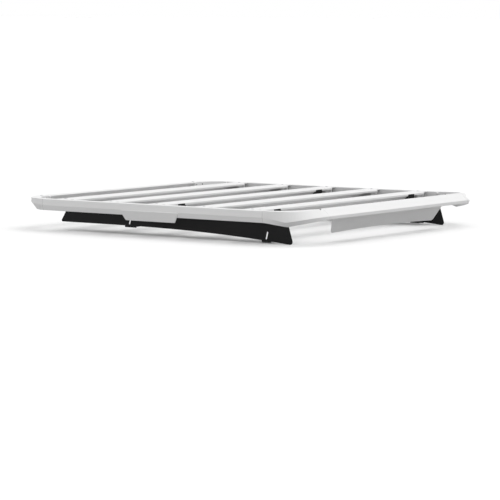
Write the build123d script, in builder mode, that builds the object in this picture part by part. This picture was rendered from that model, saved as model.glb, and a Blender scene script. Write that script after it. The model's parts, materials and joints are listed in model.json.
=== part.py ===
from build123d import *
import math
import os

os.makedirs("parts", exist_ok=True)

# Sizes in millimetres. X points to the front, Y to the left, Z up.
# The floor is at Z 0 and the deck of bars is level.

# Platform as a whole
deck_length = 1589.0
deck_width = 1430.0
deck_top = 146.0
front_reach = 239.0
rear_reach = 154.0

# Crossbars, counted from the rear
bar_count = 5
bar_margin = 88.0
bar_width = 80.0
bar_height = 26.0
bar_bevel = 8.0
bar_bevel_drop = 4.0
bar_edge_radius = 2.5
bar_side_drop = 12.0
bar_base_width = 49.0
bar_wall = 3.0

# Side rails
side_rail_top = 34.0
side_rail_height = 51.0
side_belt_drop = 28.5
side_lean = 2.0
side_tuck = 6.0
rail_wall = 3.0

# Front rail, a ramp that rises a little above the deck
front_inset = 156.0
crest_rise = 10.0
ramp_depth = 38.0
crest_width = 5.0
nose_drop = 21.5
lip_drop = 36.0
lip_tuck = 3.5
front_depth = 51.0

# Rear rail, cut away underneath
rear_inset = 170.0
rear_depth = 53.0
rear_face = 9.0
rear_tuck = 45.0
rear_rail_height = 24.0
rear_inner_face = 5.0
rear_inner_tuck = 26.0

# Corner castings
corner_sections = 22
corner_round = 150.0
corner_angle = 55.0
nose_round = 70.0
chin_place = 0.36
chin_drop = 18.0
chin_tuck = 23.0
chin_lift = 0.45
rear_sections = 10

# Blends along a front corner: where each starts and stops, and how it bows
low_blend = (0.15, 0.95, 1.2)
crest_blend = (0.15, 1.0, 1.5)
inner_blend = (0.2, 1.0, 1.0)
rise_blend = (0.4, 1.0, 1.4)
inner_rise_blend = (0.0, 1.0, 1.3)
# How the chin's belt, base and tuck bow before and after its lowest place
belt_bow = (1.6, 1.5)
base_bow = (1.6, 1.3)
tuck_bow = (3.0, 1.7)

# Bar end brackets
end_length = 33.0
end_width = 68.0
end_block_width = 52.0
end_height = 24.0
end_top = 5.0
end_lip = 3.0
end_groove = 9.0

# Mount rails under the bars
mount_inset = 103.0
mount_wall = 4.0
mount_flange = 100.0
mount_rear_inset = 19.5
mount_front_reach = 87.5
mount_tail_lean = 50.5
mount_tip_lean = 37.5
mount_tail_round = 6.0
mount_tip_round = 12.0
mount_drop = 106.8
bow_inset = 304.0
bow_drop = 40.845
bow_power = 2.3
bow_steps = 8
mount_slot_length = 36.0
mount_slot_width = 8.5
mount_slot_lean = 14.0
slot_rise = 22.0
rear_slot_gap = 109.0
front_slot_inset = 135.5

# Feet under the mount rails
foot_inner = 42.0
foot_plate = 7.0
foot_lug = 34.0
foot_lug_wall = 8.0
foot_lip = 1.5
foot_clearance = 18.0
foot_hole = 4.5
foot_hole_inset = 27.0
# How far each foot runs behind and ahead of its slot, and how far its pad and lip hang
foot_spans = {"rear": (27.0, 34.0, 3.7, 7.2), "front": (25.0, 21.0, 2.1, 4.1)}

# Clamps in front of every second bar from the third
clamp_inset = 180.0
clamp_width = 48.0
clamp_depth = 3.0
clamp_top_drop = 5.3
clamp_step = 8.0
clamp_step_drop = 13.7
clamp_gap = 0.2

# Side plates
plate_top_width = 322.0
plate_base_width = 268.0
plate_height = 46.0
plate_wall = 3.5
plate_corner = 7.0
plate_inset = 0.5

# Wind deflector
deflector_top_width = 890.0
deflector_base_width = 816.0
deflector_height = 72.0
deflector_arch = 9.0
deflector_wall = 3.5
deflector_lean = 24.8
deflector_back = 65.0
deflector_drop = 42.5
deflector_corner = 18.0
bracket_inset = 145.0
bracket_width = 30.0
bracket_wall = 4.0
bracket_reach = 40.0
bracket_grip = 28.0

# Positions that follow from the sizes
half_width = deck_width / 2
nose_x = deck_length / 2
rear_x = -deck_length / 2
side_front_x = nose_x - front_reach
side_rear_x = rear_x + rear_reach
side_rail_length = side_front_x - side_rear_x
bar_group_x = (side_front_x + side_rear_x) / 2
rail_inner = half_width - side_rail_top
front_half = half_width - front_inset
rear_half = half_width - rear_inset
mount_half = half_width - mount_inset
clamp_half = half_width - clamp_inset
bar_half_length = rail_inner - end_length
bar_bottom = deck_top - bar_height
bar_pitch = (side_rail_length - 2 * bar_margin) / (bar_count - 1)
bar_x = [bar_group_x + bar_pitch * (i - (bar_count - 1) / 2) for i in range(bar_count)]
sides = {"right": -1, "left": 1}


# Side rails: hollow extrusions with two outer facets that meet at a belt line.
for side, s in sides.items():
    with BuildPart() as side_rail:
        with BuildSketch(Plane.YZ.offset(side_rear_x)):
            with BuildLine():
                Polyline(
                    (s * (half_width - side_lean), deck_top),
                    (s * half_width, deck_top - side_belt_drop),
                    (s * (half_width - side_tuck), deck_top - side_rail_height),
                    (s * rail_inner, deck_top - side_rail_height),
                    (s * rail_inner, deck_top),
                    close=True,
                )
            outline = make_face()
            fillet(outline.vertices(), radius=rail_wall)
            offset(amount=-rail_wall, kind=Kind.INTERSECTION, mode=Mode.SUBTRACT)
        extrude(amount=side_rail_length)
    side_rail.part.label = side + "_side_rail"
    export_step(side_rail.part, "parts/" + side + "_side_rail.step")


# Front rail: ramp, nose and lip, hollow, running across between the corners.
front_points = [
    (nose_x - lip_tuck, deck_top - lip_drop),
    (nose_x, deck_top - nose_drop),
    (nose_x - ramp_depth, deck_top + crest_rise),
    (nose_x - ramp_depth - crest_width, deck_top + crest_rise),
    (nose_x - front_depth, deck_top - lip_drop),
]
with BuildPart() as front_rail:
    with BuildSketch(Plane((0, front_half, 0), x_dir=(1, 0, 0), z_dir=(0, -1, 0))):
        with BuildLine():
            Polyline(*front_points, close=True)
        outline = make_face()
        fillet(outline.vertices(), radius=rail_wall)
        offset(amount=-rail_wall, kind=Kind.INTERSECTION, mode=Mode.SUBTRACT)
    extrude(amount=2 * front_half)
front_rail.part.label = "front_rail"
export_step(front_rail.part, "parts/front_rail.step")


# Rear rail: level top, short rear and inner faces and sloping undersides, hollow.
rear_slope = rear_tuck / (side_rail_height - rear_face)
rear_points = [
    (rear_x, deck_top),
    (rear_x, deck_top - rear_face),
    (rear_x + rear_slope * (rear_rail_height - rear_face), deck_top - rear_rail_height),
    (rear_x + rear_depth - rear_inner_tuck, deck_top - rear_rail_height),
    (rear_x + rear_depth, deck_top - rear_inner_face),
    (rear_x + rear_depth, deck_top),
]
with BuildPart() as rear_rail:
    with BuildSketch(Plane((0, rear_half, 0), x_dir=(1, 0, 0), z_dir=(0, -1, 0))):
        with BuildLine():
            Polyline(*rear_points, close=True)
        outline = make_face()
        fillet(outline.vertices(), radius=rail_wall)
        offset(amount=-rail_wall, kind=Kind.INTERSECTION, mode=Mode.SUBTRACT)
    extrude(amount=2 * rear_half)
rear_rail.part.label = "rear_rail"
export_step(rear_rail.part, "parts/rear_rail.step")


# Front corners: sections that turn from the side rail's profile to the front rail's.
# In plan the corner runs straight, bends, runs straight and bends again to the nose.
bend = math.radians(corner_angle)
bend_x = nose_x - nose_round * (1 - math.sin(bend))
bend_y = front_half + nose_round * math.cos(bend)
turn_y = half_width - corner_round * (1 - math.cos(bend))
turn_x = bend_x - (turn_y - bend_y) / math.tan(bend)
arc_x = turn_x - corner_round * math.sin(bend)
with BuildLine() as corner_plan:
    Line((side_front_x, half_width), (arc_x, half_width))
    JernArc((arc_x, half_width), (1, 0), corner_round, -corner_angle)
    Line((turn_x, turn_y), (bend_x, bend_y))
    JernArc((bend_x, bend_y), (math.cos(bend), -math.sin(bend)), nose_round, corner_angle - 90)
corner_path = corner_plan.wires()[0]


def share(place, start, stop, power):
    return min(max((place - start) / (stop - start), 0), 1) ** power


def bump(place, rise, fall):
    return min(share(place, 0, chin_place, rise), share(place, 1, chin_place, fall))


def between(first, last, part):
    return first + (last - first) * part


for side, s in sides.items():
    with BuildPart() as front_corner:
        for step in range(corner_sections + 1):
            place = step / corner_sections
            spot = corner_path.position_at(place * corner_path.length, PositionMode.LENGTH)
            heading = corner_path.tangent_at(place * corner_path.length, PositionMode.LENGTH)
            low = share(place, *low_blend)
            chin = bump(place, *base_bow)
            belt = between(side_belt_drop, nose_drop, low) + chin_drop * bump(place, *belt_bow)
            base = between(side_rail_height, lip_drop, low) + chin_drop * chin
            tuck = between(side_tuck, lip_tuck, low) + chin_tuck * bump(place, *tuck_bow)
            back = between(side_rail_top, front_depth, low) + chin_lift * chin_tuck * chin
            crest_in = between(side_lean, ramp_depth, share(place, *crest_blend))
            inner_in = between(side_rail_top, ramp_depth + crest_width, share(place, *inner_blend))
            section_plane = Plane(
                (spot.X, s * spot.Y, deck_top),
                x_dir=(-heading.Y, s * heading.X, 0),
                z_dir=(s * heading.X, heading.Y, 0),
            )
            with BuildSketch(section_plane):
                with BuildLine():
                    Polyline(
                        (-tuck, -base),
                        (0, -belt),
                        (-crest_in, crest_rise * share(place, *rise_blend)),
                        (-inner_in, crest_rise * share(place, *inner_rise_blend)),
                        (-back, chin_lift * chin_drop * chin - base),
                        close=True,
                    )
                make_face()
        loft(ruled=True)
    front_corner.part.label = "front_" + side + "_corner"
    export_step(front_corner.part, "parts/front_" + side + "_corner.step")


# Rear corners: sections round a quarter oval, from the side profile to the rear profile.
rear_span = half_width - rear_half
for side, s in sides.items():
    with BuildPart() as rear_corner:
        for step in range(rear_sections + 1):
            turn = step / rear_sections
            angle = math.radians(90 * turn)
            out_x = -math.sin(angle)
            out_y = s * math.cos(angle)
            middle = (
                side_rear_x - rear_reach * math.sin(angle),
                s * (rear_half + rear_span * math.cos(angle)),
                deck_top,
            )
            depth = between(side_rail_top, rear_depth, turn)
            with BuildSketch(Plane(middle, x_dir=(out_x, out_y, 0), z_dir=(out_y, -out_x, 0))):
                with BuildLine():
                    Polyline(
                        (-between(side_tuck, rear_tuck, turn), -side_rail_height),
                        (0, -between(side_belt_drop, rear_face, turn)),
                        (-between(side_lean, 0, turn), 0),
                        (-depth, 0),
                        (-depth, -side_rail_height),
                        close=True,
                    )
                make_face()
        loft(ruled=True)
    rear_corner.part.label = "rear_" + side + "_corner"
    export_step(rear_corner.part, "parts/rear_" + side + "_corner.step")


# Crossbars: wide hollow planks with bevelled top edges, tucked sides and a middle web.
bar_flat = bar_width / 2 - bar_bevel
for number, x in enumerate(bar_x, start=1):
    with BuildPart() as crossbar:
        with BuildSketch(Plane((x, bar_half_length, 0), x_dir=(1, 0, 0), z_dir=(0, -1, 0))):
            with BuildLine():
                Polyline(
                    (-bar_flat, deck_top),
                    (-bar_width / 2, deck_top - bar_bevel_drop),
                    (-bar_width / 2, deck_top - bar_side_drop),
                    (-bar_base_width / 2, bar_bottom),
                    (bar_base_width / 2, bar_bottom),
                    (bar_width / 2, deck_top - bar_side_drop),
                    (bar_width / 2, deck_top - bar_bevel_drop),
                    (bar_flat, deck_top),
                    close=True,
                )
            outline = make_face()
            fillet(outline.vertices().sort_by(Axis.Z)[-4:], radius=bar_edge_radius)
            offset(amount=-bar_wall, kind=Kind.INTERSECTION, mode=Mode.SUBTRACT)
            with Locations((0, deck_top - bar_height / 2)):
                Rectangle(bar_wall, bar_height - bar_wall)
        extrude(amount=2 * bar_half_length)
    crossbar.part.label = "crossbar_" + str(number)
    export_step(crossbar.part, "parts/crossbar_" + str(number) + ".step")


# Bar ends: blocks that close the bars. A top runs on to the side rail and turns down against it.
end_bottom = deck_top - end_height
lip_face = rail_inner - end_lip
end_face = lip_face - end_groove
for number, x in enumerate(bar_x, start=1):
    for side, s in sides.items():
        name = "crossbar_" + str(number) + "_" + side + "_end"
        with BuildPart() as bar_end:
            with BuildSketch(Plane((x - end_block_width / 2, 0, 0), x_dir=(0, 1, 0), z_dir=(1, 0, 0))):
                with BuildLine():
                    Polyline(
                        (s * bar_half_length, deck_top),
                        (s * rail_inner, deck_top),
                        (s * rail_inner, end_bottom),
                        (s * lip_face, end_bottom),
                        (s * lip_face, deck_top - end_top),
                        (s * end_face, deck_top - end_top),
                        (s * end_face, end_bottom),
                        (s * bar_half_length, end_bottom),
                        close=True,
                    )
                make_face()
            extrude(amount=end_block_width)
            with BuildSketch(Plane.XY.offset(deck_top)):
                with Locations((x, s * (bar_half_length + rail_inner) / 2)):
                    Rectangle(end_width, end_length)
            extrude(amount=-end_top)
        bar_end.part.label = name
        export_step(bar_end.part, "parts/" + name + ".step")


# Mount rails: folded plates whose lower edge follows a roof, flange under the bars.
mount_rear = -side_rail_length / 2 + mount_rear_inset
mount_front = side_rail_length / 2 + mount_front_reach
mount_top_rear = mount_rear + mount_tail_lean
mount_top_front = mount_front - mount_tip_lean
bow_start = -side_rail_length / 2 + bow_inset


def edge_drop(x):
    return mount_drop + bow_drop * max((x - bow_start) / (mount_front - bow_start), 0) ** bow_power


bow_x = [between(bow_start, mount_front, step / bow_steps) for step in range(bow_steps + 1)]
slot_x = {"rear": bow_start + rear_slot_gap, "front": mount_front - front_slot_inset}
for side, s in sides.items():
    with BuildPart() as mount_rail:
        web_plane = Plane((bar_group_x, s * mount_half, deck_top), x_dir=(1, 0, 0), z_dir=(0, -1, 0))
        with BuildSketch(web_plane) as web:
            with BuildLine():
                Line((mount_rear, -mount_drop), (bow_start, -mount_drop))
                Spline(*[(x, -edge_drop(x)) for x in bow_x])
                Polyline(
                    (mount_front, -edge_drop(mount_front)),
                    (mount_top_front, -bar_height),
                    (mount_top_rear, -bar_height),
                    (mount_rear, -mount_drop),
                )
            make_face()
            fillet(web.vertices().sort_by(Axis.X)[0], radius=mount_tail_round)
            fillet(web.vertices().sort_by(Axis.X)[-1], radius=mount_tip_round)
            for x in slot_x.values():
                with Locations((x, slot_rise - edge_drop(x))):
                    SlotOverall(
                        mount_slot_length,
                        mount_slot_width,
                        rotation=90 - mount_slot_lean,
                        mode=Mode.SUBTRACT,
                    )
        extrude(amount=s * mount_wall)
        with BuildSketch(Plane.XY.offset(bar_bottom)):
            with Locations((bar_group_x + (mount_top_front + mount_top_rear) / 2, s * mount_half)):
                Rectangle(
                    mount_top_front - mount_top_rear,
                    mount_flange,
                    align=(Align.CENTER, Align.MAX if s > 0 else Align.MIN),
                )
        extrude(amount=-mount_wall)
        fold = mount_rail.edges().filter_by(Axis.X).group_by(Axis.Z)[-1].sort_by(Axis.Y)
        fillet(fold[-1] if s > 0 else fold[0], radius=mount_wall)
    mount_rail.part.label = side + "_mount_rail"
    export_step(mount_rail.part, "parts/" + side + "_mount_rail.step")


# Feet: pads under the mount rails with an outer lip, a forked lug and a hole for a roof bolt.
web_inner = mount_half - mount_wall
for place, (behind, ahead, pad_hang, lip_hang) in foot_spans.items():
    start = slot_x[place] - behind
    stop = slot_x[place] + ahead
    pad_drop = edge_drop(stop) + pad_hang
    lip_base = edge_drop(stop) + lip_hang
    for side, s in sides.items():
        name = place + "_" + side + "_foot"
        with BuildPart() as foot:
            lip_start = s * (mount_half + foot_lip)
            with BuildSketch(Plane((bar_group_x, lip_start, deck_top), x_dir=(1, 0, 0), z_dir=(0, -1, 0))):
                with BuildLine():
                    Polyline(
                        (start, -edge_drop(start)),
                        (start, -lip_base),
                        (stop, -lip_base),
                        (stop, -edge_drop(stop)),
                        close=True,
                    )
                make_face()
            extrude(amount=s * (foot_lip + mount_wall))
            inner_plane = Plane((bar_group_x, s * web_inner, deck_top), x_dir=(1, 0, 0), z_dir=(0, -1, 0))
            with BuildSketch(inner_plane):
                with Locations(((start + stop) / 2, -pad_drop)):
                    Rectangle(stop - start, foot_plate, align=(Align.CENTER, Align.MIN))
            extrude(amount=s * (foot_inner - mount_wall))
            with BuildSketch(inner_plane):
                with Locations(((start + stop) / 2, -pad_drop)):
                    Rectangle(stop - start, foot_plate + foot_lug, align=(Align.CENTER, Align.MIN))
                with Locations((slot_x[place], slot_rise - edge_drop(slot_x[place]))):
                    SlotOverall(
                        mount_slot_length + foot_clearance,
                        mount_slot_width + foot_clearance,
                        rotation=90 - mount_slot_lean,
                        mode=Mode.SUBTRACT,
                    )
            extrude(amount=s * foot_lug_wall)
            with BuildSketch(Plane.XY.offset(deck_top - pad_drop)):
                with Locations((bar_group_x + (start + stop) / 2, s * (mount_half - foot_hole_inset))):
                    Circle(foot_hole)
            extrude(amount=foot_plate, mode=Mode.SUBTRACT)
        foot.part.label = name
        export_step(foot.part, "parts/" + name + ".step")


# Clamps: jaws that grip the tucked front side of a bar and sit on the flange.
bar_side = bar_width / 2 + clamp_gap
bar_tuck = (bar_width - bar_base_width) / 2 / (bar_height - bar_side_drop)
clamp_front = bar_width / 2 + clamp_depth
step_side = bar_side - bar_tuck * (clamp_step_drop - bar_side_drop)
base_side = bar_base_width / 2 + clamp_gap
for number in range(3, bar_count + 1, 2):
    for side, s in sides.items():
        name = "crossbar_" + str(number) + "_" + side + "_clamp"
        x = bar_x[number - 1]
        with BuildPart() as clamp:
            start = s * (clamp_half + clamp_width / 2)
            with BuildSketch(Plane((x, start, 0), x_dir=(1, 0, 0), z_dir=(0, -1, 0))):
                with BuildLine():
                    Polyline(
                        (bar_side, deck_top - clamp_top_drop),
                        (bar_side, deck_top - bar_side_drop),
                        (base_side, bar_bottom),
                        (clamp_front, bar_bottom),
                        (clamp_front, deck_top - clamp_top_drop),
                        close=True,
                    )
                make_face()
            extrude(amount=s * clamp_width)
            step_start = s * (clamp_half - clamp_width / 2)
            with BuildSketch(Plane((x, step_start, 0), x_dir=(1, 0, 0), z_dir=(0, -1, 0))):
                with BuildLine():
                    Polyline(
                        (step_side, deck_top - clamp_step_drop),
                        (base_side, bar_bottom),
                        (clamp_front, bar_bottom),
                        (clamp_front, deck_top - clamp_step_drop),
                        close=True,
                    )
                make_face()
            extrude(amount=s * clamp_step)
        clamp.part.label = name
        export_step(clamp.part, "parts/" + name + ".step")


# Side plates: blank trapezoids lying on the lower facet and hanging below the rail.
facet = math.atan2(side_tuck, side_rail_height - side_belt_drop)
for side, s in sides.items():
    with BuildPart() as side_plate:
        plate_plane = Plane(
            (bar_group_x, s * half_width, deck_top - side_belt_drop),
            x_dir=(-s, 0, 0),
            z_dir=(0, s * math.cos(facet), -math.sin(facet)),
        )
        with BuildSketch(plate_plane):
            with BuildLine():
                Polyline(
                    (-plate_top_width / 2, -plate_inset),
                    (plate_top_width / 2, -plate_inset),
                    (plate_base_width / 2, -plate_height - plate_inset),
                    (-plate_base_width / 2, -plate_height - plate_inset),
                    close=True,
                )
            outline = make_face()
            fillet(outline.vertices(), radius=plate_corner)
        extrude(amount=plate_wall)
    side_plate.part.label = side + "_side_plate"
    export_step(side_plate.part, "parts/" + side + "_side_plate.step")


# Wind deflector: leaning plate below the front rail with an arched lower edge.
lean = math.radians(deflector_lean)
deflector_x = nose_x - deflector_back
deflector_z = deck_top - deflector_drop
with BuildPart() as wind_deflector:
    deflector_plane = Plane(
        (deflector_x, 0, deflector_z),
        x_dir=(0, 1, 0),
        z_dir=(math.cos(lean), 0, -math.sin(lean)),
    )
    with BuildSketch(deflector_plane):
        with BuildLine():
            Polyline(
                (-deflector_base_width / 2, -deflector_height),
                (-deflector_top_width / 2, 0),
                (deflector_top_width / 2, 0),
                (deflector_base_width / 2, -deflector_height),
            )
            ThreePointArc(
                (deflector_base_width / 2, -deflector_height),
                (0, -deflector_height + deflector_arch),
                (-deflector_base_width / 2, -deflector_height),
            )
        outline = make_face()
        fillet(outline.vertices().sort_by(Axis.Y)[:2], radius=deflector_corner)
    extrude(amount=-deflector_wall)
wind_deflector.part.label = "wind_deflector"
export_step(wind_deflector.part, "parts/wind_deflector.step")


# Deflector brackets: folded straps from under the front rail to the deflector's back.
leg_top = deck_top - lip_drop
leg_base = leg_top - bracket_wall
back_x = deflector_x - deflector_wall * math.cos(lean)
back_z = deflector_z + deflector_wall * math.sin(lean)
leg_x = back_x + (leg_base - back_z) * math.tan(lean)
leg_end_x = leg_x - bracket_reach * math.tan(lean)
leg_thick = bracket_wall / math.cos(lean)
bracket_half = deflector_top_width / 2 - bracket_inset
for side, s in sides.items():
    with BuildPart() as deflector_bracket:
        bracket_plane = Plane(
            (0, s * bracket_half + bracket_width / 2, 0),
            x_dir=(1, 0, 0),
            z_dir=(0, -1, 0),
        )
        with BuildSketch(bracket_plane):
            with BuildLine():
                Polyline(
                    (nose_x - bracket_grip, leg_top),
                    (nose_x - bracket_grip, leg_base),
                    (leg_x, leg_base),
                    (leg_end_x, leg_base - bracket_reach),
                    (leg_end_x - leg_thick, leg_base - bracket_reach),
                    (leg_x - leg_thick, leg_base),
                    (leg_x - leg_thick, leg_top),
                    close=True,
                )
            make_face()
        extrude(amount=bracket_width)
    deflector_bracket.part.label = side + "_deflector_bracket"
    export_step(deflector_bracket.part, "parts/" + side + "_deflector_bracket.step")
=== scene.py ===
import json
import math
import bmesh
import bpy
from mathutils import Matrix, Vector


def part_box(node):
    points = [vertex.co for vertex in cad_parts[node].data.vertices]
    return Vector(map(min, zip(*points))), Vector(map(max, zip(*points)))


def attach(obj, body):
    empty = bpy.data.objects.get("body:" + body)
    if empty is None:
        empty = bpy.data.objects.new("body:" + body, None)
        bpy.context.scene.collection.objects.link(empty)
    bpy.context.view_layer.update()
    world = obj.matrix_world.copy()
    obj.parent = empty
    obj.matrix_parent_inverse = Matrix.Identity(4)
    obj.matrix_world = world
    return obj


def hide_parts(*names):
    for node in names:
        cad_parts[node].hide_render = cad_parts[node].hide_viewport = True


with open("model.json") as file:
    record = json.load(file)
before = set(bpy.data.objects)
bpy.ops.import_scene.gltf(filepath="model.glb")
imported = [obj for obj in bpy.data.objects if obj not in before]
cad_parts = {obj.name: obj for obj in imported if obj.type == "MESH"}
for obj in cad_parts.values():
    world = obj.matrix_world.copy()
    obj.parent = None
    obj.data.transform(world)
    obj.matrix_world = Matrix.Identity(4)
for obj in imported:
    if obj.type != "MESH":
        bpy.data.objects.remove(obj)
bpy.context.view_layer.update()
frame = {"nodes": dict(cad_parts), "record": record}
nodes = frame["nodes"]
scene = bpy.context.scene
scene.view_settings.view_transform = "Standard"
print("frame loaded,", len(nodes), "nodes")


class Wire:
    # one socket of a node tree; maths on it adds Math nodes
    def __init__(self, tree, socket=None):
        self.tree = tree
        self.socket = socket

    def node(self, kind, settings=None, inputs=None, out=0):
        made = self.tree.nodes.new(kind)
        for name, value in (settings or {}).items():
            setattr(made, name, value)
        for name, value in (inputs or {}).items():
            if isinstance(value, Wire):
                self.tree.links.new(value.socket, made.inputs[name])
            else:
                made.inputs[name].default_value = value
        return Wire(self.tree, made.outputs[out]) if len(made.outputs) else made

    def pick(self, name):
        return Wire(self.tree, self.socket.node.outputs[name])

    def math(self, operation, first, second=0.0):
        return self.node("ShaderNodeMath", {"operation": operation}, {0: first, 1: second})

    def __add__(self, other):
        return self.math("ADD", self, other)

    def __radd__(self, other):
        return self.math("ADD", other, self)

    def __sub__(self, other):
        return self.math("SUBTRACT", self, other)

    def __rsub__(self, other):
        return self.math("SUBTRACT", other, self)

    def __mul__(self, other):
        return self.math("MULTIPLY", self, other)

    def __rmul__(self, other):
        return self.math("MULTIPLY", other, self)

    def __pow__(self, other):
        return self.math("POWER", self, other)

    def most(self, other):
        return self.math("MAXIMUM", self, other)


def mixColour(wire, share, first, second):
    return wire.node(
        "ShaderNodeMix",
        {"data_type": "RGBA"},
        {0: share, 6: first, 7: second},
        out=2,
    )


def startMaterial(name):
    made = bpy.data.materials.new(name)
    made.use_nodes = True
    made.node_tree.nodes.clear()
    return made, Wire(made.node_tree)


def endMaterial(wire, shader):
    wire.node("ShaderNodeOutputMaterial", inputs={"Surface": shader})


# How cloud and grain share the tone of every finish; noise varies round its middle.
mottle = {"cloud": 0.6, "grain": 0.4, "grainDetail": 3.0, "middle": 0.5}


def makeFinish(name, finish):
    # powder coat, rubber or steel: cloudy tone, fine grain in tone, gloss and bump
    made, wire = startMaterial(name)
    place = wire.node("ShaderNodeTexCoord").pick("Object")
    cloud = wire.node("ShaderNodeTexNoise", None, {"Vector": place, "Scale": finish["cloudScale"]})
    grain = wire.node(
        "ShaderNodeTexNoise",
        None,
        {"Vector": place, "Scale": finish["grainScale"], "Detail": mottle["grainDetail"]},
    )
    bump = wire.node(
        "ShaderNodeBump",
        None,
        {"Height": grain, "Distance": finish["grainDepth"], "Strength": finish["grainStrength"]},
    )
    tone = cloud * mottle["cloud"] + grain * mottle["grain"]
    shader = wire.node(
        "ShaderNodeBsdfPrincipled",
        None,
        {
            "Base Color": mixColour(wire, tone, finish["dark"], finish["light"]),
            "Roughness": finish["roughness"] + (grain - mottle["middle"]) * finish["roughSpread"],
            "Metallic": finish["metallic"],
            "Specular IOR Level": finish["specular"],
            "Normal": bump,
        },
    )
    endMaterial(wire, shader)
    return made


# Satin silver powder coat on the frame, bars, plates and deflector.
silverFinish = {
    "light": (0.815, 0.815, 0.815, 1),
    "dark": (0.76, 0.76, 0.76, 1),
    "roughness": 0.45,
    "roughSpread": 0.2,
    "metallic": 0.0,
    "specular": 0.5,
    "grainScale": 900.0,
    "grainDepth": 0.00012,
    "grainStrength": 0.5,
    "cloudScale": 5.0,
}
# Satin black powder coat on the mount rails, clamps, straps and small bolts.
blackFinish = {
    "light": (0.014, 0.014, 0.0145, 1),
    "dark": (0.008, 0.008, 0.0085, 1),
    "roughness": 0.5,
    "roughSpread": 0.25,
    "metallic": 0.0,
    "specular": 0.14,
    "grainScale": 700.0,
    "grainDepth": 0.0002,
    "grainStrength": 0.6,
    "cloudScale": 9.0,
}
# Moulded rubber of the feet; its black also fills the seams as thin sheets of painted shade.
rubberFinish = {
    "light": (0.022, 0.022, 0.022, 1),
    "dark": (0.011, 0.011, 0.011, 1),
    "roughness": 0.8,
    "roughSpread": 0.2,
    "metallic": 0.0,
    "specular": 0.25,
    "grainScale": 420.0,
    "grainDepth": 0.0003,
    "grainStrength": 0.7,
    "cloudScale": 30.0,
}
# Zinc plated steel of the larger bolts.
steelFinish = {
    "light": (0.74, 0.74, 0.75, 1),
    "dark": (0.62, 0.62, 0.63, 1),
    "roughness": 0.34,
    "roughSpread": 0.2,
    "metallic": 1.0,
    "specular": 0.5,
    "grainScale": 1500.0,
    "grainDepth": 0.00005,
    "grainStrength": 0.4,
    "cloudScale": 60.0,
}
finishes = {
    "silver_coat": makeFinish("silverCoat", silverFinish),
    "black_coat": makeFinish("blackCoat", blackFinish),
    "black_rubber": makeFinish("footRubber", rubberFinish),
}
boltSteel = makeFinish("boltSteel", steelFinish)
slotOf = {row["node"]: row["material_slot"] for row in frame["record"]["subparts"]}
print("finishes made")


def clearSelection():
    if bpy.context.object and bpy.context.object.mode != "OBJECT":
        bpy.ops.object.mode_set(mode="OBJECT")
    bpy.ops.object.select_all(action="DESELECT")


def useObject(piece):
    clearSelection()
    bpy.context.view_layer.objects.active = piece
    piece.select_set(True)


def finishPiece(piece, material):
    piece.data.materials.clear()
    piece.data.materials.append(material)
    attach(piece, "root")


# Mesh care for every piece: doubles merged within weld, nearly flat faces joined, smooth shading.
care = {"weld": 0.000002, "flatDegrees": 0.4, "smoothDegrees": 35}


def mergeDoubles():
    bpy.ops.mesh.select_all(action="SELECT")
    bpy.ops.mesh.remove_doubles(threshold=care["weld"])
    bpy.ops.mesh.dissolve_degenerate(threshold=care["weld"])


def bevelEdges(piece, picked, width, segments):
    bpy.ops.mesh.select_mode(type="EDGE")
    bpy.ops.mesh.select_all(action="DESELECT")
    mesh = bmesh.from_edit_mesh(piece.data)
    for edge in mesh.edges:
        if picked(edge):
            edge.select_set(True)
    bmesh.update_edit_mesh(piece.data)
    bpy.ops.mesh.bevel(offset=width, segments=segments, clamp_overlap=True)
    mergeDoubles()


def shadeSmooth():
    bpy.ops.object.shade_smooth_by_angle(angle=math.radians(care["smoothDegrees"]))


# How the edges of each kind of node are softened, in metres; angle is the least turn, in degrees.
# The long edges of a casting are rounded like the rails.
softEdges = {
    "mount_rail": {"width": 0.0008, "segments": 2, "angle": 50},
    "rail": {"width": 0.0005, "segments": 2, "angle": 50},
    "corner": {"width": 0.003, "segments": 3, "angle": 27},
    "end": {"width": 0.0012, "segments": 2, "angle": 50},
    "clamp": {"width": 0.0009, "segments": 2, "angle": 30},
    "foot": {"width": 0.0012, "segments": 2, "angle": 50},
    "plate": {"width": 0.0014, "segments": 3, "angle": 50},
    "deflector": {"width": 0.0011, "segments": 2, "angle": 50},
    "bracket": {"width": 0.0008, "segments": 2, "angle": 20},
    "crossbar": {"width": 0.0008, "segments": 2, "angle": 30},
}


def kindOf(name):
    return next((kind for kind in softEdges if name.endswith(kind)), "crossbar")


# Hairline between a casting and its rails; a thin black sheet in it is painted shade that darkens the
# gap.
seam = {
    "gap": 0.0006,
    # thickness of the black sheet of painted shade in each seam
    "shadeSheet": 0.00056,
    "edge": 0.0004,  # bevel round a casting's joint face
    "edgeSegments": 2,
    "near": 0.0005,  # what moves back with a casting's joint face
    "flush": 0.0002,  # what counts as an edge of that face
    "flat": 0.00002,  # what counts as a rail's end face
}
railEnds = (("rear", "front"), ("right", "left"))


def castingJoints(name):
    # the two flat ends of a casting: axis, level and the way into the casting
    low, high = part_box(name)
    ahead = 1 if "front" in name else -1
    outward = 1 if "left" in name else -1
    return (
        (0, low[0] if ahead > 0 else high[0], ahead),
        (1, low[1] if outward > 0 else high[1], outward),
    )


def bevelCasting(piece, name, soft, isSharp):
    joints = castingJoints(name)

    def onJoint(edge):
        return any(
            all(abs(point.co[axis] - level) < seam["flush"] for point in edge.verts)
            for axis, level, _ in joints
        )

    def isLong(edge):
        return isSharp(edge) and not onJoint(edge)

    def isJoint(edge):
        return isSharp(edge) and onJoint(edge)

    bevelEdges(piece, isLong, soft["width"], soft["segments"])
    bevelEdges(piece, isJoint, seam["edge"], seam["edgeSegments"])
    # the joint faces draw back from the rails
    mesh = bmesh.from_edit_mesh(piece.data)
    for axis, level, way in joints:
        for point in mesh.verts:
            if abs(point.co[axis] - level) < seam["near"]:
                point.co[axis] += way * seam["gap"]
    bmesh.update_edit_mesh(piece.data)


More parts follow.
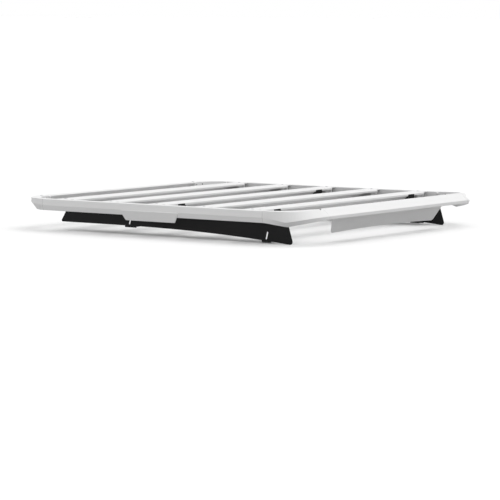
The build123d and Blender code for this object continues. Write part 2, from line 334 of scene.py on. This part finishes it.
def makeShadeSheet(rail, name, axis, level):
    # the rail's own end face, lifted off and given a thickness: a black sheet of painted shade for
    # the seam's hairline
    useObject(rail)
    bpy.ops.object.mode_set(mode="EDIT")
    bpy.ops.mesh.select_mode(type="FACE")
    bpy.ops.mesh.select_all(action="DESELECT")
    mesh = bmesh.from_edit_mesh(rail.data)
    for face in mesh.faces:
        if all(abs(point.co[axis] - level) < seam["flat"] for point in face.verts):
            face.select_set(True)
    bmesh.update_edit_mesh(rail.data)
    bpy.ops.mesh.duplicate()
    bpy.ops.mesh.separate(type="SELECTED")
    bpy.ops.object.mode_set(mode="OBJECT")
    shadeSheet = next(other for other in bpy.context.selected_objects if other != rail)
    shadeSheet.name = name
    useObject(shadeSheet)
    thick = shadeSheet.modifiers.new("thick", "SOLIDIFY")
    thick.thickness = seam["shadeSheet"]
    thick.offset = 1
    bpy.ops.object.modifier_apply(modifier="thick")
    # the black rubber finish paints the seam's shade
    finishPiece(shadeSheet, finishes["black_rubber"])


# a black sheet of painted shade at each end of a rail, darkening its seams
def shadeRailSeams(rail, name):
    low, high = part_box(name)
    axis = 0 if "side" in name else 1
    for end, level in zip(railEnds[axis], (low[axis], high[axis])):
        makeShadeSheet(rail, name + "_" + end + "_gasket", axis, level)
    useObject(rail)


# How far the upper leg of a deflector strap reaches under the front rail.
strap = {"grip": 0.010}


def trimStrap(piece):
    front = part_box("front_rail")[0][0] + strap["grip"]
    mesh = bmesh.from_edit_mesh(piece.data)
    for point in mesh.verts:
        point.co.x = min(point.co.x, front)
    bmesh.update_edit_mesh(piece.data)


def softenNode(name):
    kind = kindOf(name)
    soft = softEdges[kind]
    sharp = math.radians(soft["angle"])
    piece = nodes[name].copy()
    piece.data = nodes[name].data.copy()
    piece.parent = None
    piece.name = name + "_soft"
    scene.collection.objects.link(piece)
    useObject(piece)
    bpy.ops.mesh.customdata_custom_splitnormals_clear()
    bpy.ops.object.mode_set(mode="EDIT")
    mergeDoubles()

    def isSharp(edge):
        return len(edge.link_faces) == 2 and edge.calc_face_angle() > sharp

    if kind == "corner":
        bevelCasting(piece, name, soft, isSharp)
    else:
        bpy.ops.mesh.dissolve_limited(angle_limit=math.radians(care["flatDegrees"]))
        if kind == "bracket":
            trimStrap(piece)
        bevelEdges(piece, isSharp, soft["width"], soft["segments"])
    bpy.ops.object.mode_set(mode="OBJECT")
    if kind == "rail":
        # black sheets of painted shade go into the rail's seams
        shadeRailSeams(piece, name)
    shadeSmooth()
    weigh = piece.modifiers.new("weigh", "WEIGHTED_NORMAL")
    weigh.keep_sharp = True
    bpy.ops.object.modifier_apply(modifier="weigh")
    finishPiece(piece, finishes[slotOf[name]])
    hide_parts(name)
    return piece


softened = {name: softenNode(name) for name in sorted(nodes)}
bpy.context.view_layer.update()  # the ray casts below meet the softened pieces
print("edges softened on", len(nodes), "nodes")


# Button head bolt with a hexagon socket, standing on the origin along Z.
bolt = {
    "sides": 24,
    "radius": 0.0065,
    "height": 0.0028,
    "dome": 0.0018,
    "domeSegments": 4,
    "socket": 0.0024,
    "socketRim": 1.05,
    "depth": 0.0018,
}
touch = 0.00001  # how near an edge lies to the face it is picked by


def makeBolt():
    clearSelection()
    bpy.ops.mesh.primitive_cylinder_add(
        vertices=bolt["sides"],
        radius=bolt["radius"],
        depth=bolt["height"],
        location=(0, 0, bolt["height"] / 2),
    )
    piece = bpy.context.object
    bpy.ops.object.transform_apply(location=True, rotation=True, scale=True)
    bpy.ops.object.mode_set(mode="EDIT")
    top = bolt["height"] - touch

    def onTop(edge):
        return all(point.co.z > top for point in edge.verts)

    bevelEdges(piece, onTop, bolt["dome"], bolt["domeSegments"])
    bpy.ops.mesh.select_mode(type="FACE")
    bpy.ops.mesh.select_all(action="DESELECT")
    mesh = bmesh.from_edit_mesh(piece.data)
    crown = max(mesh.faces, key=lambda face: face.calc_center_median().z)
    crown.select_set(True)
    bmesh.update_edit_mesh(piece.data)
    bpy.ops.mesh.inset(thickness=bolt["radius"] - bolt["dome"] - bolt["socket"] * bolt["socketRim"])
    # the inset ring is pulled onto a hexagon and sunk
    sixth = math.pi / 3
    mesh = bmesh.from_edit_mesh(piece.data)
    for point in (v for v in mesh.verts if v.select):
        turn = math.atan2(point.co.y, point.co.x)
        reach = bolt["socket"] * math.cos(sixth / 2) / math.cos(turn % sixth - sixth / 2)
        point.co.x = reach * math.cos(turn)
        point.co.y = reach * math.sin(turn)
    bmesh.update_edit_mesh(piece.data)
    bpy.ops.mesh.extrude_region_move(TRANSFORM_OT_translate={"value": (0, 0, -bolt["depth"])})
    bpy.ops.object.mode_set(mode="OBJECT")
    shadeSmooth()
    return piece


# Lug on the inside of a casting beside its joint, rounded at its free end and over its top.
# It stands on the YZ plane and points along X.
lug = {
    "reach": 0.010,
    "width": 0.008,
    "height": 0.011,
    "round": 0.003,
    "roundSegments": 5,
    "top": 0.003,
    "topSegments": 4,
    "soft": 0.0006,
    "softSegments": 2,
    "softAngle": 50,
    "sink": 0.001,  # how deep its root sits in the casting
    "frontSink": 0.004,
}


def makeLug():
    clearSelection()
    bpy.ops.mesh.primitive_cube_add(size=1, location=(lug["reach"] / 2, 0, 0))
    piece = bpy.context.object
    piece.scale = (lug["reach"], lug["width"], lug["height"])
    bpy.ops.object.transform_apply(location=True, rotation=True, scale=True)
    bpy.ops.object.mode_set(mode="EDIT")
    tip = lug["reach"] - touch
    crest = lug["height"] / 2 - touch

    def isUprightTip(edge):
        first, second = edge.verts
        return min(first.co.x, second.co.x) > tip and first.co.z * second.co.z < 0

    def onCrest(edge):
        return all(point.co.z > crest for point in edge.verts)

    def isSharp(edge):
        return edge.calc_face_angle() > math.radians(lug["softAngle"])

    bevelEdges(piece, isUprightTip, lug["round"], lug["roundSegments"])
    bevelEdges(piece, onCrest, lug["top"], lug["topSegments"])
    bevelEdges(piece, isSharp, lug["soft"], lug["softSegments"])
    bpy.ops.object.mode_set(mode="OBJECT")
    shadeSmooth()
    return piece


def placeCopy(source, name, place, along, material, standing=(0, 0, 1), size=1.0):
    # a copy with its own mesh, its own axis turned to point along
    copy = source.copy()
    copy.data = source.data.copy()
    copy.name = name
    scene.collection.objects.link(copy)
    turn = Vector(standing).rotation_difference(Vector(along)).to_matrix().to_4x4()
    copy.data.transform(Matrix.Translation(place) @ turn @ Matrix.Scale(size, 4))
    finishPiece(copy, material)


# Where the bolts and lugs sit, for the left side; the right side mirrors it.
fixings = {
    "barBoltY": 0.659,
    "rearTopBolt": (-0.768, 0.571),
    "rearTurns": (80, 62),
    "rearWallZ": 0.1345,
    "frontWallX": 0.602,
    "frontWallZ": 0.135,
    "smallBolt": 0.42,
    "lugTop": 0.1452,
}
# The small bolt at the top of the right front casting's slope, and the way it faces.
slopeBolt = {"place": (0.7588, -0.5795, 0.1523), "aim": (0.67, -0.22, 0.71), "castFrom": 0.05}
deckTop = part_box("crossbar_1")[1][2]
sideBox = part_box("left_side_rail")
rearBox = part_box("rear_rail")
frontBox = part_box("front_rail")
boltModel = makeBolt()
lugModel = makeLug()


def placeSteelBolt(name, x, y):
    placeCopy(boltModel, name, (x, y, deckTop), (0, 0, 1), boltSteel)


def placeSmallBolt(name, place, along):
    placeCopy(
        boltModel,
        name,
        place,
        along,
        finishes["black_coat"],
        size=fixings["smallBolt"],
    )


def rearWall(degrees, sign):
    # point and normal on the rear casting's inner wall, which turns round a quarter oval
    turn = math.radians(degrees)
    sideDepth = sideBox[1][1] - sideBox[0][1]
    rearDepth = rearBox[1][0] - rearBox[0][0]
    depth = sideDepth + (rearDepth - sideDepth) * degrees / 90
    reach = sideBox[0][0] - rearBox[0][0] - depth
    span = sideBox[1][1] - rearBox[1][1] - depth
    place = (
        sideBox[0][0] - reach * math.sin(turn),
        sign * (rearBox[1][1] + span * math.cos(turn)),
        fixings["rearWallZ"],
    )
    return place, (math.sin(turn), -sign * math.cos(turn), 0)


def placeLugs(side, sign):
    z = fixings["lugTop"] - lug["height"] / 2
    half = lug["width"] / 2 + seam["gap"]
    railY = sign * (sideBox[0][1] + lug["sink"])
    inward = (0, -sign, 0)
    places = {
        "rear": ((rearBox[1][0] - lug["sink"], sign * (rearBox[1][1] + half), z), (1, 0, 0)),
        "side_rear": ((sideBox[0][0] - half, railY, z), inward),
        "side_front": ((sideBox[1][0] + half, railY, z), inward),
        "front": ((frontBox[0][0] + lug["frontSink"], sign * (frontBox[1][1] + half), z), (-1, 0, 0)),
    }
    for end, (place, along) in places.items():
        placeCopy(
            lugModel,
            "%s_%s_lug" % (end, side),
            place,
            along,
            finishes["silver_coat"],
            standing=(1, 0, 0),
        )


for side, sign in (("right", -1), ("left", 1)):
    for number in range(1, 6):
        low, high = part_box("crossbar_%d" % number)
        name = "bar_%d_%s_bolt" % (number, side)
        placeSteelBolt(name, (low[0] + high[0]) / 2, sign * fixings["barBoltY"])
    x, y = fixings["rearTopBolt"]
    placeSteelBolt("rear_%s_top_bolt" % side, x, sign * y)
    for count, degrees in enumerate(fixings["rearTurns"], start=1):
        place, along = rearWall(degrees, sign)
        placeSmallBolt("rear_%s_wall_bolt_%d" % (side, count), place, along)
    # the front one is set against the casting's inner wall
    start = (fixings["frontWallX"], 0, fixings["frontWallZ"])
    place, along = softened["front_%s_corner" % side].ray_cast(start, (0, sign, 0))[1:3]
    placeSmallBolt("front_%s_wall_bolt" % side, place, along)
    placeLugs(side, sign)
# the slope's bolt is set against the casting from outside
out = Vector(slopeBolt["aim"]) * slopeBolt["castFrom"]
start = Vector(slopeBolt["place"]) + out
place, along = softened["front_right_corner"].ray_cast(start, -out)[1:3]
placeSmallBolt("front_right_slope_bolt", place, along)
for model in (boltModel, lugModel):
    bpy.data.objects.remove(model)
print("bolts and lugs placed")


# Soft studio: a dome a little brighter at both sides, a wide soft key high in front, a pale floor.
studio = {
    "dome": 0.64,
    "sides": 0.36,
    "sidesPower": 2,
    "key": 2.3,
    "keyPower": 8,
    "keyAim": (0.45, 0.1, 0.8874),
    "floorSeen": 0.93,
    "floorBounce": 0.38,
    "floorSize": 400.0,
}


def seenRay(wire):
    path = wire.node("ShaderNodeLightPath")
    seen = path.pick("Is Camera Ray").most(path.pick("Is Glossy Ray"))
    return seen.most(path.pick("Is Transmission Ray"))


def makeDome():
    world = bpy.data.worlds.new("studio")
    scene.world = world
    world.use_nodes = True
    world.node_tree.nodes.clear()
    wire = Wire(world.node_tree)
    seen = seenRay(wire)
    sky = wire.node("ShaderNodeTexCoord").pick("Generated")
    aim = wire.node(
        "ShaderNodeVectorMath",
        {"operation": "DOT_PRODUCT"},
        {0: sky, 1: studio["keyAim"]},
        out=1,
    )
    glow = aim.most(0.0) ** studio["keyPower"]
    across = wire.node("ShaderNodeSeparateXYZ", None, {0: sky}).pick("Y") ** studio["sidesPower"]
    dome = studio["dome"] + across * studio["sides"] + glow * studio["key"]
    light = wire.node(
        "ShaderNodeBackground",
        None,
        {"Color": (1, 1, 1, 1), "Strength": seen + (1 - seen) * dome},
    )
    wire.node("ShaderNodeOutputWorld", inputs={"Surface": light})


def makeFloor():
    clearSelection()
    bpy.ops.mesh.primitive_plane_add(size=studio["floorSize"])
    floor = bpy.context.object
    floor.name = "floor"
    made, wire = startMaterial("paleFloor")
    shade = studio["floorBounce"] + seenRay(wire) * (studio["floorSeen"] - studio["floorBounce"])
    shader = wire.node("ShaderNodeBsdfDiffuse", None, {"Color": shade})
    endMaterial(wire, shader)
    floor.data.materials.append(made)


makeDome()
makeFloor()
print("studio lit")

# Camera matched to the photograph's 500 by 500 frame.
view = {
    "place": (6.7533, -9.4581, 0.98995),
    "tilt": 84.628,
    "heading": 35.597,
    "focalPixels": 2572.165,
    "framePixels": 500,
    "sensor": 36.0,
    "farClip": 1000.0,
}
lens = bpy.data.cameras.new("camera")
lens.sensor_width = view["sensor"]
lens.lens = view["focalPixels"] / view["framePixels"] * view["sensor"]
lens.clip_end = view["farClip"]
camera = bpy.data.objects.new("camera", lens)
scene.collection.objects.link(camera)
camera.location = view["place"]
camera.rotation_euler = (math.radians(view["tilt"]), 0, math.radians(view["heading"]))
scene.camera = camera
print("camera placed")
